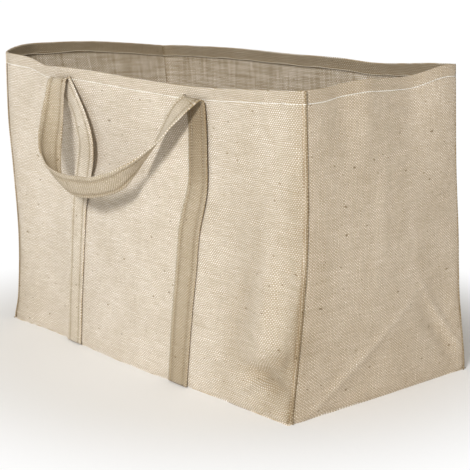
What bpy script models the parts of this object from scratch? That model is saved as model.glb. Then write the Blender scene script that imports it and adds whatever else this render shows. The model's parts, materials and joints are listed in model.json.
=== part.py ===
"""Jute log bag standing open.

Four walls and a base of jute cloth, each top edge turned in as a hem, and on each long
side one folded jute band that is sewn up the wall, hangs out as the carrying loop and is
sewn down the wall again. Metres, +Z up, the origin in the middle of the base.
"""

from bisect import bisect_right
from collections import namedtuple
import math

import bmesh
import bpy
from mathutils import Vector

# Cloth and hem
CLOTH = 0.0016
HEM_THICKNESS = 0.0032
HEM_DEPTH = 0.018
HEM_STEP = 0.002
SEAM_GAP = 0.0005
FLOOR_BAND = 0.004

# Band
BAND_WIDTH = 0.038
BAND_THICKNESS = 0.0024
BAND_GAP = 0.0013
BAND_STEP = 0.014
BAND_COLUMNS = 4
STRAP_STEP = 0.020
TURN_RADIUS = 0.0052
TURN_STEPS = 4
STRAP_REACH = 0.012
# How much of its width a shallow cup takes up, for each square of its depth to width
CUP_TAKE = 8.0 / 3.0

# Grids
LONG_COLUMNS = 26
END_COLUMNS = 14
WALL_ROWS = 16
BASE_COLUMNS = 18
BASE_ROWS = 10

# How far below the rim its line is still felt, and how soon a fold dies out at a corner
RIM_FADE = 0.17
EDGE_FADE = 0.125

OUT_FRONT = Vector((0.0, -1.0, 0.0))
OUT_BACK = Vector((0.0, 1.0, 0.0))
OUT_RIGHT = Vector((1.0, 0.0, 0.0))
OUT_LEFT = Vector((-1.0, 0.0, 0.0))

# The four standing corners, bottom to top
Corner = namedtuple("Corner", "height x y")
CORNERS = {
    "front_left": (
        Corner(0.000, -0.3250, -0.1765), Corner(0.040, -0.3160, -0.1737),
        Corner(0.139, -0.3110, -0.1720), Corner(0.251, -0.3160, -0.1746),
        Corner(0.320, -0.3208, -0.1765), Corner(0.426, -0.3240, -0.1746),
    ),
    "front_right": (
        Corner(0.000, 0.3250, -0.1765), Corner(0.037, 0.3270, -0.1737),
        Corner(0.111, 0.3315, -0.1690), Corner(0.204, 0.3360, -0.1644),
        Corner(0.288, 0.3350, -0.1620), Corner(0.426, 0.3255, -0.1590),
    ),
    "back_right": (
        Corner(0.000, 0.3250, 0.1765), Corner(0.033, 0.3250, 0.1720),
        Corner(0.117, 0.3213, 0.1625), Corner(0.201, 0.3157, 0.1625),
        Corner(0.297, 0.3110, 0.1580), Corner(0.435, 0.3020, 0.1600),
    ),
    "back_left": (
        Corner(0.000, -0.3250, 0.1765), Corner(0.060, -0.3230, 0.1710),
        Corner(0.150, -0.3220, 0.1660), Corner(0.250, -0.3220, 0.1600),
        Corner(0.340, -0.3235, 0.1520), Corner(0.417, -0.3250, 0.1440),
    ),
}

# A wall runs from its start corner to its end corner, left to right seen from outside.
# Rim: share of the way along, height of the top edge, how far that edge stands out.
# Fold: share of the way along, height, half width and half height in metres, how far out.
Rim = namedtuple("Rim", "along height out")
Fold = namedtuple("Fold", "along up half_width half_height out")
Wall = namedtuple("Wall", "start end outward columns rims folds")
WALLS = {
    "front_panel": Wall(
        "front_left", "front_right", OUT_FRONT, LONG_COLUMNS,
        (
            Rim(0.000, 0.4260, 0.0000), Rim(0.112, 0.4240, 0.0034), Rim(0.184, 0.4160, 0.0070),
            Rim(0.260, 0.4180, 0.0150), Rim(0.370, 0.4170, 0.0070), Rim(0.496, 0.4135, -0.0010),
            Rim(0.666, 0.4110, -0.0120), Rim(0.803, 0.4165, -0.0055), Rim(1.000, 0.4260, 0.0000),
        ),
        (
            Fold(0.50, 0.110, 0.130, 0.190, 0.0080),
            Fold(0.16, 0.030, 0.080, 0.120, -0.0055),
            Fold(0.31, 0.300, 0.080, 0.080, -0.0080),
            Fold(0.17, 0.250, 0.080, 0.110, -0.0030),
            Fold(0.77, 0.200, 0.070, 0.130, -0.0070),
            Fold(0.89, 0.160, 0.035, 0.090, 0.0045),
            Fold(0.90, 0.052, 0.035, 0.025, -0.0060),
        ),
    ),
    "right_end_panel": Wall(
        "front_right", "back_right", OUT_RIGHT, END_COLUMNS,
        (
            Rim(0.000, 0.4260, 0.0000), Rim(0.130, 0.4260, -0.0010), Rim(0.240, 0.4285, -0.0040),
            Rim(0.380, 0.4310, 0.0020), Rim(0.470, 0.4290, -0.0010), Rim(0.680, 0.4260, -0.0070),
            Rim(0.780, 0.4300, -0.0030), Rim(0.880, 0.4355, 0.0010), Rim(1.000, 0.4350, 0.0000),
        ),
        (
            Fold(0.45, 0.170, 0.120, 0.140, 0.0060),
            Fold(0.86, 0.090, 0.050, 0.080, -0.0030),
        ),
    ),
    "back_panel": Wall(
        "back_right", "back_left", OUT_BACK, LONG_COLUMNS,
        (
            Rim(0.000, 0.4350, 0.0000), Rim(0.083, 0.4320, 0.0010), Rim(0.156, 0.4280, 0.0020),
            Rim(0.252, 0.4240, 0.0050), Rim(0.364, 0.4260, 0.0030), Rim(0.526, 0.4240, 0.0060),
            Rim(0.734, 0.4235, 0.0090), Rim(0.955, 0.4190, 0.0050), Rim(1.000, 0.4170, 0.0000),
        ),
        (
            Fold(0.50, 0.150, 0.180, 0.180, 0.0090),
            Fold(0.25, 0.290, 0.080, 0.090, -0.0060),
            Fold(0.80, 0.280, 0.090, 0.110, -0.0050),
        ),
    ),
    "left_end_panel": Wall(
        "back_left", "front_left", OUT_LEFT, END_COLUMNS,
        (
            Rim(0.000, 0.4170, 0.0000), Rim(0.200, 0.4240, 0.0130), Rim(0.424, 0.4300, 0.0285),
            Rim(0.744, 0.4330, 0.0330), Rim(0.866, 0.4330, 0.0190), Rim(0.942, 0.4300, 0.0100),
            Rim(1.000, 0.4260, 0.0000),
        ),
        (
            Fold(0.50, 0.200, 0.110, 0.160, 0.0080),
        ),
    ),
}

# Strap, where a band lies on its wall, bottom to top: height, place along X, how far it
# stands off the cloth, how much more its right side stands off, as a share of the width.
# Bend, where it hangs free: its middle, the direction across it, how deep it is cupped.
Strap = namedtuple("Strap", "height x off turn")
Bend = namedtuple("Bend", "x y z wide_x wide_y wide_z cup")
Band = namedtuple("Band", "wall rising loop falling")
BANDS = {
    "front_band": Band(
        "front_panel",
        (
            Strap(0.002, -0.1468, 0.000, 0.00), Strap(0.060, -0.1473, 0.000, 0.00),
            Strap(0.120, -0.1422, 0.000, 0.00), Strap(0.180, -0.1372, 0.000, 0.00),
            Strap(0.235, -0.1302, 0.002, 0.00), Strap(0.275, -0.1134, 0.008, 0.00),
            Strap(0.310, -0.0990, 0.012, 0.00), Strap(0.340, -0.1056, 0.010, 0.10),
            Strap(0.368, -0.1180, 0.006, 0.26), Strap(0.398, -0.1451, 0.001, 0.05),
        ),
        (
            Bend(-0.1465, -0.2000, 0.3800, 0.96, 0.22, 0.14, 0.003),
            Bend(-0.1402, -0.2095, 0.3485, 0.83, 0.54, 0.04, 0.007),
            Bend(-0.1307, -0.2226, 0.3146, 0.40, 0.90, -0.10, 0.008),
            Bend(-0.1200, -0.2300, 0.2934, 0.10, 0.88, -0.45, 0.006),
            Bend(-0.0990, -0.2358, 0.2725, 0.00, 0.68, -0.73, 0.004),
            Bend(-0.0703, -0.2371, 0.2632, 0.00, 0.50, -0.86, 0.003),
            Bend(-0.0362, -0.2369, 0.2639, -0.28, 0.42, -0.86, 0.003),
            Bend(-0.0006, -0.2333, 0.2688, -0.22, 0.55, -0.80, 0.003),
            Bend(0.0294, -0.2262, 0.2798, -0.35, 0.50, -0.80, 0.003),
            Bend(0.0475, -0.2191, 0.2939, -0.50, 0.58, -0.64, 0.003),
            Bend(0.0622, -0.2097, 0.3085, -0.62, 0.68, -0.40, 0.003),
            Bend(0.0737, -0.1980, 0.3264, -0.73, 0.64, -0.23, 0.003),
            Bend(0.0860, -0.1910, 0.3450, -0.86, 0.50, -0.10, 0.003),
            Bend(0.0980, -0.1840, 0.3660, -0.92, 0.39, 0.05, 0.002),
            Bend(0.1090, -0.1760, 0.3840, -0.98, 0.10, 0.00, 0.001),
        ),
        (
            Strap(0.002, 0.1066, 0.000, 0.00), Strap(0.060, 0.1091, 0.000, 0.00),
            Strap(0.110, 0.1118, 0.000, 0.00), Strap(0.165, 0.1161, 0.000, 0.00),
            Strap(0.220, 0.1206, 0.000, 0.00), Strap(0.280, 0.1349, 0.001, 0.05),
            Strap(0.330, 0.1319, 0.002, 0.06), Strap(0.366, 0.1264, 0.002, 0.05),
            Strap(0.392, 0.1198, 0.002, 0.03),
        ),
    ),
    "back_band": Band(
        "back_panel",
        (
            Strap(0.002, 0.1300, 0.000, 0.00), Strap(0.080, 0.1300, 0.000, 0.00),
            Strap(0.160, 0.1320, 0.000, 0.00), Strap(0.240, 0.1310, 0.000, 0.00),
            Strap(0.320, 0.1330, 0.000, 0.00), Strap(0.370, 0.1330, 0.000, 0.00),
            Strap(0.400, 0.1320, 0.001, 0.00),
        ),
        (
            Bend(0.125, 0.197, 0.374, -1.00, -0.05, 0.00, 0.001),
            Bend(0.121, 0.206, 0.345, -0.97, -0.20, -0.05, 0.003),
            Bend(0.112, 0.214, 0.315, -0.85, -0.45, -0.20, 0.004),
            Bend(0.094, 0.222, 0.283, -0.55, -0.70, -0.40, 0.004),
            Bend(0.062, 0.228, 0.257, -0.20, -0.70, -0.68, 0.003),
            Bend(0.018, 0.230, 0.246, 0.00, -0.62, -0.78, 0.003),
            Bend(-0.028, 0.230, 0.248, 0.05, -0.66, -0.75, 0.003),
            Bend(-0.070, 0.228, 0.264, 0.25, -0.76, -0.60, 0.003),
            Bend(-0.100, 0.221, 0.294, 0.60, -0.72, -0.35, 0.004),
            Bend(-0.118, 0.212, 0.325, 0.88, -0.45, -0.12, 0.004),
            Bend(-0.129, 0.203, 0.353, 0.98, -0.18, 0.00, 0.002),
            Bend(-0.134, 0.195, 0.378, 1.00, -0.05, 0.00, 0.001),
        ),
        (
            Strap(0.002, -0.1430, 0.000, 0.00), Strap(0.070, -0.1420, 0.000, 0.00),
            Strap(0.140, -0.1410, 0.000, 0.00), Strap(0.220, -0.1400, 0.000, 0.00),
            Strap(0.300, -0.1380, 0.000, 0.00), Strap(0.360, -0.1390, 0.000, 0.00),
            Strap(0.400, -0.1380, 0.001, 0.00),
        ),
    ),
}

JUTE_COLOUR = (0.64, 0.55, 0.41, 1.0)
BAND_COLOUR = (0.52, 0.43, 0.31, 1.0)
JUTE_ROUGHNESS = 0.9


def clear_scene():
    """Remove every object of the open file."""
    for thing in list(bpy.data.objects):
        bpy.data.objects.remove(thing, do_unlink=True)


def make_material(name, colour):
    """Make a plain matt cloth material."""
    material = bpy.data.materials.new(name)
    material.use_nodes = True
    shader = material.node_tree.nodes["Principled BSDF"]
    shader.inputs["Base Color"].default_value = colour
    shader.inputs["Roughness"].default_value = JUTE_ROUGHNESS
    shader.inputs["Metallic"].default_value = 0.0
    return material


def smooth_value(knots, values, at):
    """Read a smooth curve through the values at their knots."""
    if at <= knots[0]:
        return values[0]
    if at >= knots[-1]:
        return values[-1]
    low = bisect_right(knots, at) - 1
    high = low + 1

    def slope(index):
        before = max(index - 1, 0)
        after = min(index + 1, len(knots) - 1)
        return (values[after] - values[before]) / (knots[after] - knots[before])

    span = knots[high] - knots[low]
    share = (at - knots[low]) / span
    square = share * share
    cube = square * share
    return (
        values[low] * (2.0 * cube - 3.0 * square + 1.0)
        + slope(low) * (span * (cube - 2.0 * square + share))
        + values[high] * (3.0 * square - 2.0 * cube)
        + slope(high) * (span * (cube - square))
    )


def fade(share):
    """Rise softly from 0 to 1."""
    share = min(max(share, 0.0), 1.0)
    return share * share * (3.0 - 2.0 * share)


def corner_point(name, height):
    """Give the place of a standing corner at a height."""
    rows = CORNERS[name]
    knots = [row.height for row in rows]
    x = smooth_value(knots, [row.x for row in rows], height)
    y = smooth_value(knots, [row.y for row in rows], height)
    return Vector((x, y, height))


def rim_value(wall, along, column):
    """Read one column of a wall's rim table."""
    knots = [row.along for row in wall.rims]
    return smooth_value(knots, [getattr(row, column) for row in wall.rims], along)


def wall_point(name, along, height):
    """Give a point of a wall's outer surface."""
    wall = WALLS[name]
    start = corner_point(wall.start, height)
    end = corner_point(wall.end, height)
    point = start.lerp(end, along)
    length = (end - start).length
    edge = fade(min(along, 1.0 - along) / EDGE_FADE)
    rim = rim_value(wall, along, "height")
    reach = rim_value(wall, along, "out") * fade((height - rim + RIM_FADE) / RIM_FADE)
    for fold in wall.folds:
        across = (along - fold.along) * length / fold.half_width
        upward = (height - fold.up) / fold.half_height
        reach += fold.out * edge * math.exp(-across * across - upward * upward)
    return point + wall.outward * reach


def wall_levels():
    """List the rows of a wall: share of the way up to the hem, height above that, layers."""
    rows = [(0.0, 0.0, 0.0), (0.0, FLOOR_BAND, 0.0)]
    rows += [(index / WALL_ROWS, 0.0, 0.0) for index in range(1, WALL_ROWS + 1)]
    rows += [(1.0, HEM_STEP, 1.0), (1.0, HEM_DEPTH / 2.0, 1.0), (1.0, HEM_DEPTH, 1.0)]
    return rows


def make_wall(name, material, collection):
    """Make one hemmed wall from a grid laid over its surface and given its thickness."""
    wall = WALLS[name]
    between = wall.outward in (OUT_RIGHT, OUT_LEFT)
    levels = wall_levels()
    sheet = bmesh.new()
    bmesh.ops.create_grid(sheet, x_segments=wall.columns, y_segments=len(levels) - 1, size=1.0)
    sheet.verts.ensure_lookup_table()
    layer = sheet.verts.layers.deform.verify()
    for vertex in sheet.verts:
        along = (vertex.co.x + 1.0) / 2.0
        share, extra, hem = levels[round((vertex.co.y + 1.0) / 2.0 * (len(levels) - 1))]
        hem_line = rim_value(wall, along, "height") - HEM_DEPTH
        height = share * hem_line + extra
        if between:
            layers = HEM_THICKNESS if hem else CLOTH
            inset = (layers + SEAM_GAP) / (corner_point(wall.start, height)
                                           - corner_point(wall.end, height)).length
            along = inset + along * (1.0 - 2.0 * inset)
        if extra == FLOOR_BAND:
            vertex.co = wall_point(name, along, 0.0) + Vector((0.0, 0.0, FLOOR_BAND))
        else:
            vertex.co = wall_point(name, along, height)
        vertex[layer][0] = hem
    thing = finish_object(name, sheet, material, collection)
    thing.vertex_groups.new(name="hem")
    solid = thing.modifiers.new("Cloth", "SOLIDIFY")
    solid.thickness = HEM_THICKNESS
    solid.offset = -1.0
    solid.vertex_group = "hem"
    solid.thickness_vertex_group = CLOTH / HEM_THICKNESS
    return thing


def make_bottom(material, collection):
    """Make the base panel, as wide as the walls leave it."""
    sheet = bmesh.new()
    bmesh.ops.create_grid(sheet, x_segments=BASE_COLUMNS, y_segments=BASE_ROWS, size=1.0)
    inset = CLOTH + SEAM_GAP
    for vertex in sheet.verts:
        right = (vertex.co.x + 1.0) / 2.0
        back = (vertex.co.y + 1.0) / 2.0
        front_edge = wall_point("front_panel", right, 0.0) - OUT_FRONT * inset
        back_edge = wall_point("back_panel", 1.0 - right, 0.0) - OUT_BACK * inset
        right_edge = wall_point("right_end_panel", back, 0.0) - OUT_RIGHT * inset
        left_edge = wall_point("left_end_panel", 1.0 - back, 0.0) - OUT_LEFT * inset
        vertex.co.x = left_edge.x + (right_edge.x - left_edge.x) * right
        vertex.co.y = front_edge.y + (back_edge.y - front_edge.y) * back
        vertex.co.z = CLOTH
    thing = finish_object("bottom_panel", sheet, material, collection)
    solid = thing.modifiers.new("Cloth", "SOLIDIFY")
    solid.thickness = CLOTH
    solid.offset = -1.0
    return thing


def strap_frame(wall_name, height, x, off, turn):
    """Give the middle of a band on its wall, its level width direction and no cup."""
    wall = WALLS[wall_name]
    start = corner_point(wall.start, height)
    end = corner_point(wall.end, height)
    share_per_metre = 1.0 / (end.x - start.x)
    along = (x - start.x) * share_per_metre
    reach = STRAP_REACH * abs(share_per_metre)
    left = wall_point(wall_name, along - reach, height)
    right = wall_point(wall_name, along + reach, height)
    across = ((right - left).normalized() + wall.outward * turn).normalized()
    clearance = BAND_GAP + BAND_THICKNESS / 2.0 + off
    return wall_point(wall_name, along, height) + wall.outward * clearance, across, 0.0


def strap_frames(wall_name, straps):
    """List the frames of a band from the bottom to the top of its wall."""
    knots = [strap.height for strap in straps]
    rows = math.ceil((knots[-1] - knots[0]) / STRAP_STEP)
    frames = []
    for row in range(rows + 1):
        height = knots[0] + (knots[-1] - knots[0]) * row / rows
        x, off, turn = (
            smooth_value(knots, [getattr(strap, column) for strap in straps], height)
            for column in ("x", "off", "turn")
        )
        frames.append(strap_frame(wall_name, height, x, off, turn))
    return frames


def half_turn(strap, bend, outward):
    """List the tight turn that brings the band from its strap out to its hanging loop."""
    middle = strap[0] + outward * TURN_RADIUS
    across = (strap[1] + bend[1]).normalized()
    frames = []
    for step in range(1, TURN_STEPS):
        angle = math.pi * step / TURN_STEPS
        turned = outward * (-math.cos(angle)) + Vector((0.0, 0.0, math.sin(angle)))
        frames.append((middle + turned * TURN_RADIUS, across, 0.0))
    return frames


def band_frames(band):
    """List the middle, the width direction and the cup of a band from end to end."""
    outward = WALLS[band.wall].outward
    rising = strap_frames(band.wall, band.rising)
    falling = [(point, -across, cup) for point, across, cup in strap_frames(band.wall, band.falling)]
    falling.reverse()
    loop = []
    for bend in band.loop:
        across = Vector((bend.wide_x, bend.wide_y, bend.wide_z)).normalized()
        loop.append((Vector((bend.x, bend.y, bend.z)), across, bend.cup))
    up_turn = half_turn(rising[-1], loop[0], outward)
    down_turn = half_turn(falling[0], loop[-1], outward)
    down_turn.reverse()
    return rising + up_turn + loop + down_turn + falling


def sample_band(frames):
    """Walk along a band and give its middle, run, width direction and cup at each step."""
    knots = [0.0]
    for before, after in zip(frames, frames[1:]):
        knots.append(knots[-1] + (after[0] - before[0]).length)
    stops = []
    for low, high in zip(knots, knots[1:]):
        steps = max(1, math.ceil((high - low) / BAND_STEP))
        stops += [low + (high - low) * step / steps for step in range(steps)]
    stops.append(knots[-1])
    middles, widths, cups = (
        [smooth_value(knots, [frame[column] for frame in frames], stop) for stop in stops]
        for column in range(3)
    )
    samples = []
    for index, middle in enumerate(middles):
        before = middles[max(index - 1, 0)]
        after = middles[min(index + 1, len(middles) - 1)]
        run = (after - before).normalized()
        across = (widths[index] - run * widths[index].dot(run)).normalized()
        samples.append((middle, run, across, cups[index]))
    return samples


def make_band(name, material, collection):
    """Make one band from a strip laid along its route and given its thickness."""
    samples = sample_band(band_frames(BANDS[name]))
    sheet = bmesh.new()
    bmesh.ops.create_grid(sheet, x_segments=BAND_COLUMNS, y_segments=len(samples) - 1, size=1.0)
    for vertex in sheet.verts:
        side = vertex.co.x
        middle, run, across, cup = samples[round((vertex.co.y + 1.0) / 2.0 * (len(samples) - 1))]
        half_chord = BAND_WIDTH / 2.0 * (1.0 - CUP_TAKE * (cup / BAND_WIDTH) ** 2)
        rise = cup * (side * side - 0.5)
        vertex.co = middle + across * (side * half_chord) + run.cross(across) * rise
    thing = finish_object(name, sheet, material, collection)
    solid = thing.modifiers.new("Cloth", "SOLIDIFY")
    solid.thickness = BAND_THICKNESS
    solid.offset = 0.0
    return thing


def finish_object(name, sheet, material, collection):
    """Turn a bmesh into a named object of the bag."""
    mesh = bpy.data.meshes.new(name)
    sheet.to_mesh(mesh)
    sheet.free()
    mesh.materials.append(material)
    mesh.shade_smooth()
    thing = bpy.data.objects.new(name, mesh)
    collection.objects.link(thing)
    return thing


def build_bag():
    """Make every piece of the bag."""
    clear_scene()
    collection = bpy.data.collections.new("jute log bag")
    bpy.context.scene.collection.children.link(collection)
    for name in WALLS:
        make_wall(name, make_material(name + " jute", JUTE_COLOUR), collection)
    make_bottom(make_material("bottom jute", JUTE_COLOUR), collection)
    for name in BANDS:
        make_band(name, make_material(name + " jute", BAND_COLOUR), collection)


build_bag()
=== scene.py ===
from bisect import bisect_right
from collections import namedtuple
import json
import math

import bmesh
import bpy
from bpy.props import FloatProperty, FloatVectorProperty, IntProperty, PointerProperty
from mathutils import Matrix, Vector, noise

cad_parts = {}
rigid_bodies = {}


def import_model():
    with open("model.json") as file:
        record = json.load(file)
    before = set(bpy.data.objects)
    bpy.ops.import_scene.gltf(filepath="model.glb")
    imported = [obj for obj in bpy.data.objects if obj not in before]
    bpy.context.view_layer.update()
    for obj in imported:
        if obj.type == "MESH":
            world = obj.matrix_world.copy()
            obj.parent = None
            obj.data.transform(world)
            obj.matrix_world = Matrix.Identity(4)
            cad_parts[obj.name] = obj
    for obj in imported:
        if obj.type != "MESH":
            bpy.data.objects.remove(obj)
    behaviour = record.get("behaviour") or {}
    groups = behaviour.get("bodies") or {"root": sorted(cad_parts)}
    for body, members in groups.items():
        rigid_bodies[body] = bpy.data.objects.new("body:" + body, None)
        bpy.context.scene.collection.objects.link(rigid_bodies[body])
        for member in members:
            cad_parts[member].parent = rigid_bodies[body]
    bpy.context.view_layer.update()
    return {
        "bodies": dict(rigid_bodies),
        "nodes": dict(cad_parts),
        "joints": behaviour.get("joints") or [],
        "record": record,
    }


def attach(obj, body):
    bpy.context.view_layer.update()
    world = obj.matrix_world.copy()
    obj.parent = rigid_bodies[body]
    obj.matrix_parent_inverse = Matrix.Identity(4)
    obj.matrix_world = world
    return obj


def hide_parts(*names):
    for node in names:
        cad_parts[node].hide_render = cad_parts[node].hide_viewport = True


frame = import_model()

bl_info = {
    "name": "Jute log bag",
    "version": (1, 0, 0),
    "blender": (4, 5, 0),
    "location": "3D View > Sidebar > Log bag",
    "description": "Sews and dresses a standing jute log bag over its packed frame",
    "category": "Object",
}

# Lengths are in metres. Gap of a butted seam, and thickness of a folded band
SEAM_GAP = 0.0005
BAND_THICKNESS = 0.0024
# How far a band lies off its wall, and how far to each side it follows the wall's slope
BAND_GAP = 0.0013
STRAP_REACH = 0.012
# Steps in which a strap and a whole band are walked, and the turn out to the loop
STRAP_STEP = 0.020
BAND_STEP = 0.004
TURN_RADIUS = 0.0052
TURN_STEPS = 4
# Share of its width that a cupped band loses: 8/3 of the square of its depth over its width
CUP_TAKE = 8.0 / 3.0
# How far a strap may stand off the wall and still be sewn to it
SEWN_OFF = 0.0025
# How far below the rim its sway fades out, and the share of a wall's length in which its
# folds fade out beside the seams
RIM_FADE = 0.17
EDGE_FADE = 0.125

# How the sewing draws the cloth in: how far, and over what distance
CREASE_FADE = 0.022
SEAM_DIP = 0.0026
SEAM_SPAN = 0.0030
LONG_ROUND = 0.0040
LONG_ROUND_SPAN = 0.014
END_ROUND = 0.0025
END_ROUND_SPAN = 0.010
BASE_DIP = 0.0022
BASE_SPAN = 0.0050
STITCH_DIP = 0.0005
STITCH_SPAN = 0.0018
STITCH_DROP = 0.0165
# Puckers under the hem: depth, how far down they reach, waves per metre along and up
PUCKER = 0.0004
PUCKER_REACH = 0.03
PUCKER_ALONG = 45.0
PUCKER_UP = 12.0

# Grid of the cloth: columns beside a seam, rows above the base, free strip under the hem
SEAM_COLUMNS = (0.0, 0.001, 0.002, 0.0032, 0.0048, 0.007, 0.010)
BASE_ROWS = (0.0, 0.0012, 0.0025, 0.004, 0.006, 0.009)
HEM_APPROACH = 0.006
HEM_DEPTH = 0.018
# Rough heights of a wall's middle, hem and rim, and the height of its cloth laid out flat
MID_HEIGHT = 0.2
HEM_HEIGHT = 0.4
RIM_HEIGHT = 0.42
# Base panel: faces along and across, and its cloth laid out flat
BASE_FACES = (60, 34)
# Step to a neighbouring point, where the cloth's direction is felt out
SMALL_STEP = 0.0008

# Thread: its half width in the hems and in the bands, and how flat it lies
HEM_STITCH_RADIUS = 0.00072
BAND_STITCH_RADIUS = 0.00042
STITCH_FLATNESS = 0.7
# Band stitches: length, and how far from the band's middle as a share of its thickness
BAND_STITCH_LENGTH = 0.0031
BAND_STITCH_LIFT = 0.32
# How far the other stitches lie off the cloth, and how unevenly the hems are sewn: sway of
# the row, its waves per metre, tilt of a stitch, and how unlike the next stitch's tilt is
STITCH_LIFT = 0.0003
STITCH_SWAY = 0.0014
SWAY_ALONG = 16.0
SWAY_LEVEL = 7.0
STITCH_TILT = 0.12
TILT_STEP = 3.7

# Stage: the floor, where it begins to glow and is white, how white it and what is behind it
# are, the light and the camera
FLOOR_RADIUS = 14.0
GLOW_FROM = 0.30
GLOW_TO = 0.64
GLOW_STRENGTH = 1.02
BACKDROP_STRENGTH = 1.05
LIGHT_SIZE = 0.8
LIGHT_PLACE = (2.40, -4.00, 2.50)
LIGHT_TARGET = (0.0, 0.0, 0.2)
CAMERA_LENS = 106.62
CAMERA_SENSOR = 36.0
CAMERA_PLACE = (1.5363, -1.3229, 0.6379)
CAMERA_TARGET = (0.00279, 0.01486, 0.16436)

UP = Vector((0.0, 0.0, 1.0))
OUT_FRONT = Vector((0.0, -1.0, 0.0))
OUT_BACK = Vector((0.0, 1.0, 0.0))
OUT_RIGHT = Vector((1.0, 0.0, 0.0))
OUT_LEFT = Vector((-1.0, 0.0, 0.0))


def table(kind, *rows):
    """Make rows of one kind."""
    return tuple(kind(*row) for row in rows)


# The four standing corners, bottom to top
Corner = namedtuple("Corner", "height x y")
CORNERS = {
    "front_left": table(
        Corner, (0.0, -0.325, -0.1765), (0.04, -0.316, -0.1737), (0.139, -0.311, -0.172),
        (0.251, -0.316, -0.1746), (0.32, -0.3208, -0.1765), (0.426, -0.324, -0.1746),
    ),
    "front_right": table(
        Corner, (0.0, 0.325, -0.1765), (0.037, 0.327, -0.1737), (0.111, 0.3315, -0.169),
        (0.204, 0.336, -0.1644), (0.288, 0.335, -0.162), (0.426, 0.3255, -0.159),
    ),
    "back_right": table(
        Corner, (0.0, 0.325, 0.1765), (0.033, 0.325, 0.172), (0.117, 0.3213, 0.1625),
        (0.201, 0.3157, 0.1625), (0.297, 0.311, 0.158), (0.435, 0.302, 0.16),
    ),
    "back_left": table(
        Corner, (0.0, -0.325, 0.1765), (0.06, -0.323, 0.171), (0.15, -0.322, 0.166),
        (0.25, -0.322, 0.16), (0.34, -0.3235, 0.152), (0.417, -0.325, 0.144),
    ),
}

# A wall runs from its start corner to its end corner, left to right seen from outside.
# Rim: share of the way along, height of the top edge, how far that edge stands out.
# Fold: share of the way along, height, half width and half height in metres, how far out.
Rim = namedtuple("Rim", "along height out", defaults=(0.0,))
Fold = namedtuple("Fold", "along up half_width half_height out")
Wall = namedtuple("Wall", "start end outward rims folds")
WALLS = {
    "front_panel": Wall(
        "front_left", "front_right", OUT_FRONT,
        table(
            Rim, (0.0, 0.426), (0.112, 0.424, 0.0034), (0.184, 0.416, 0.007), (0.26, 0.418, 0.015),
            (0.37, 0.417, 0.007), (0.496, 0.4135, -0.001), (0.666, 0.411, -0.012),
            (0.803, 0.4165, -0.0055), (1.0, 0.426),
        ),
        table(
            Fold, (0.5, 0.11, 0.13, 0.19, 0.008), (0.16, 0.03, 0.08, 0.12, -0.0055),
            (0.31, 0.3, 0.08, 0.08, -0.008), (0.17, 0.25, 0.08, 0.11, -0.003),
            (0.77, 0.2, 0.07, 0.13, -0.007), (0.89, 0.16, 0.035, 0.09, 0.0045),
            (0.9, 0.052, 0.035, 0.025, -0.006),
        ),
    ),
    "right_end_panel": Wall(
        "front_right", "back_right", OUT_RIGHT,
        table(
            Rim, (0.0, 0.426), (0.13, 0.426, -0.001), (0.24, 0.4285, -0.004), (0.38, 0.431, 0.002),
            (0.47, 0.429, -0.001), (0.68, 0.426, -0.007), (0.78, 0.43, -0.003),
            (0.88, 0.4355, 0.001), (1.0, 0.435),
        ),
        table(
            Fold, (0.45, 0.17, 0.12, 0.14, 0.006), (0.86, 0.09, 0.05, 0.08, -0.003),
        ),
    ),
    "back_panel": Wall(
        "back_right", "back_left", OUT_BACK,
        table(
            Rim, (0.0, 0.435), (0.083, 0.432, 0.001), (0.156, 0.428, 0.002), (0.252, 0.424, 0.005),
            (0.364, 0.426, 0.003), (0.526, 0.424, 0.006), (0.734, 0.4235, 0.009),
            (0.955, 0.419, 0.005), (1.0, 0.417),
        ),
        table(
            Fold, (0.5, 0.15, 0.18, 0.18, 0.009), (0.25, 0.29, 0.08, 0.09, -0.006),
            (0.8, 0.28, 0.09, 0.11, -0.005),
        ),
    ),
    "left_end_panel": Wall(
        "back_left", "front_left", OUT_LEFT,
        table(
            Rim, (0.0, 0.417), (0.2, 0.424, 0.013), (0.424, 0.43, 0.0285), (0.744, 0.433, 0.033),
            (0.866, 0.433, 0.019), (0.942, 0.43, 0.01), (1.0, 0.426),
        ),
        table(
            Fold, (0.5, 0.2, 0.11, 0.16, 0.008),
        ),
    ),
}

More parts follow.
